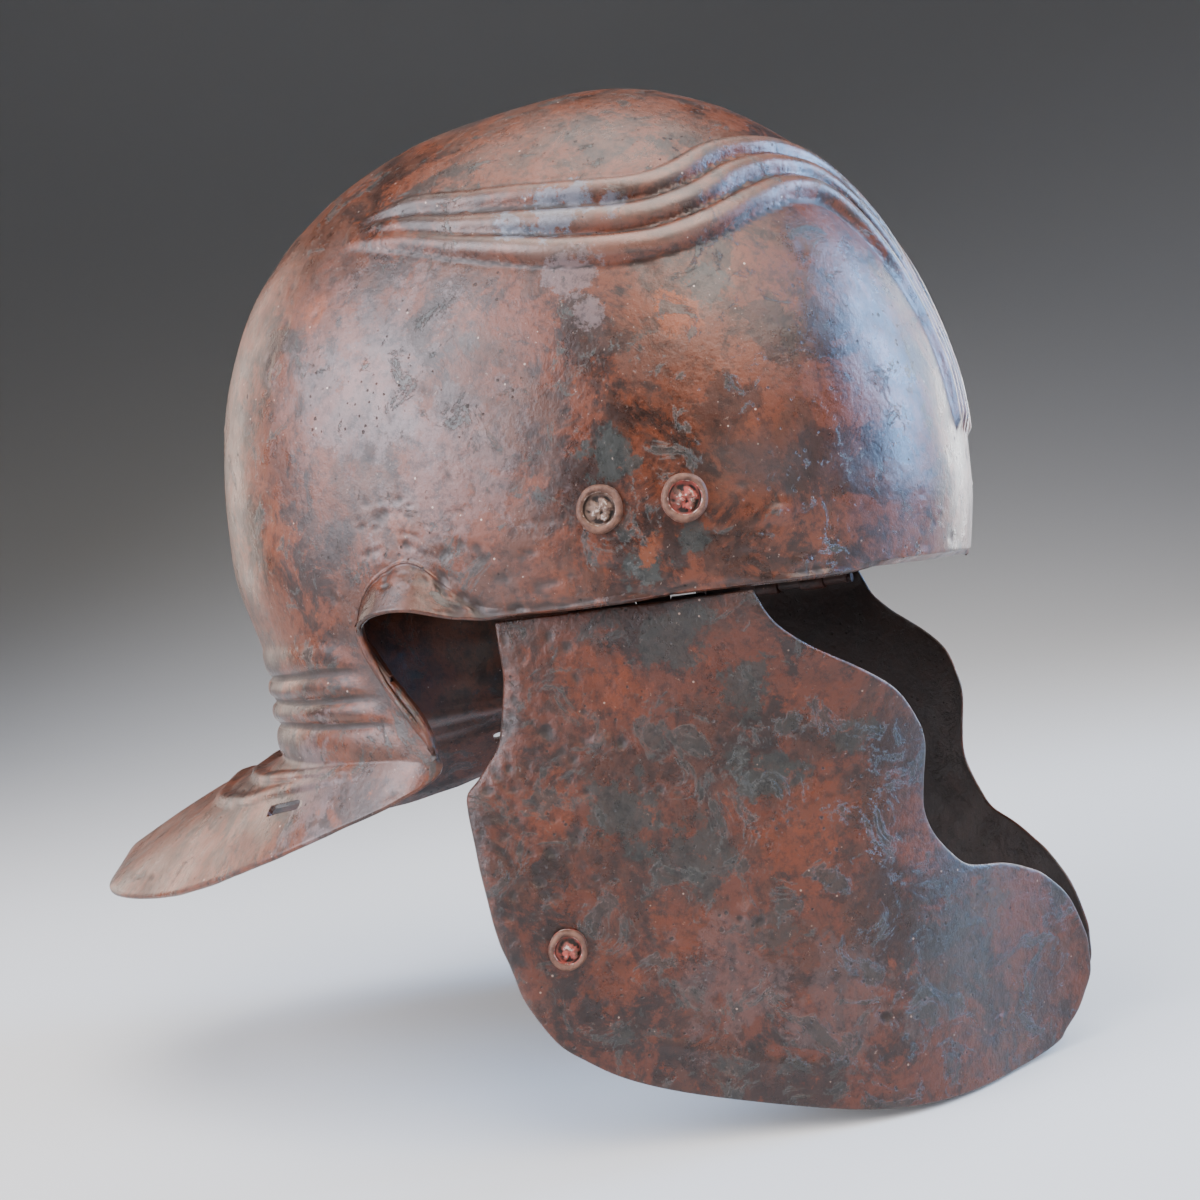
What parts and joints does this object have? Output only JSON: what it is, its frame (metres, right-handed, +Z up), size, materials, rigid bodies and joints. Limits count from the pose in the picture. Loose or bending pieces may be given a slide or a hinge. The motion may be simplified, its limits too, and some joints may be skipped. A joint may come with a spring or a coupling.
{
  "type": "roman legionary helmet",
  "caption": "Iron infantry helmet with a round bowl, embossed eyebrows, ribbed nape, sloping neck guard and hinged cheek guards.",
  "frame": {"origin": "centre of the head opening in the plane of the rim, where the helmet sits on a head", "axes": "+Z up, -Y forward, +Y towards the neck guard, -X the wearer's right"},
  "size_m": [0.2066, 0.3237, 0.2935],
  "materials": {
    "bowl_iron": "brown rust patina with grey-green and orange patches, satin",
    "guard_iron": "brown rust patina with fine pits, satin",
    "hinge_iron": "dark brown oxidised, matte",
    "rivet_iron": "rough corroded core in a worn raised ring"
  },
  "bodies": {
    "shell": {"bowl": "bowl_iron", "hinge_leaf_left": "hinge_iron", "hinge_leaf_right": "hinge_iron", "hinge_pin_left": "hinge_iron", "hinge_pin_right": "hinge_iron", "bowl_rivet_rear_left": "rivet_iron", "bowl_rivet_rear_right": "rivet_iron", "bowl_rivet_front_left": "rivet_iron", "bowl_rivet_front_right": "rivet_iron"},
    "guard_left": {"cheek_guard_left": "guard_iron", "tie_rivet_left": "rivet_iron"},
    "guard_right": {"cheek_guard_right": "guard_iron", "tie_rivet_right": "rivet_iron"}
  },
  "joints": [
    {"name": "guard_hinge_left", "type": "hinge", "parent": "shell", "child": "guard_left", "pos_m": [0.08208, -0.0441, -0.0037], "axis": [-0.2079, -0.9781, 0], "range_deg": [-2, 55]},
    {"name": "guard_hinge_right", "type": "hinge", "parent": "shell", "child": "guard_right", "pos_m": [-0.08208, -0.0441, -0.0037], "axis": [-0.2079, 0.9781, 0], "range_deg": [-2, 55]}
  ]
}
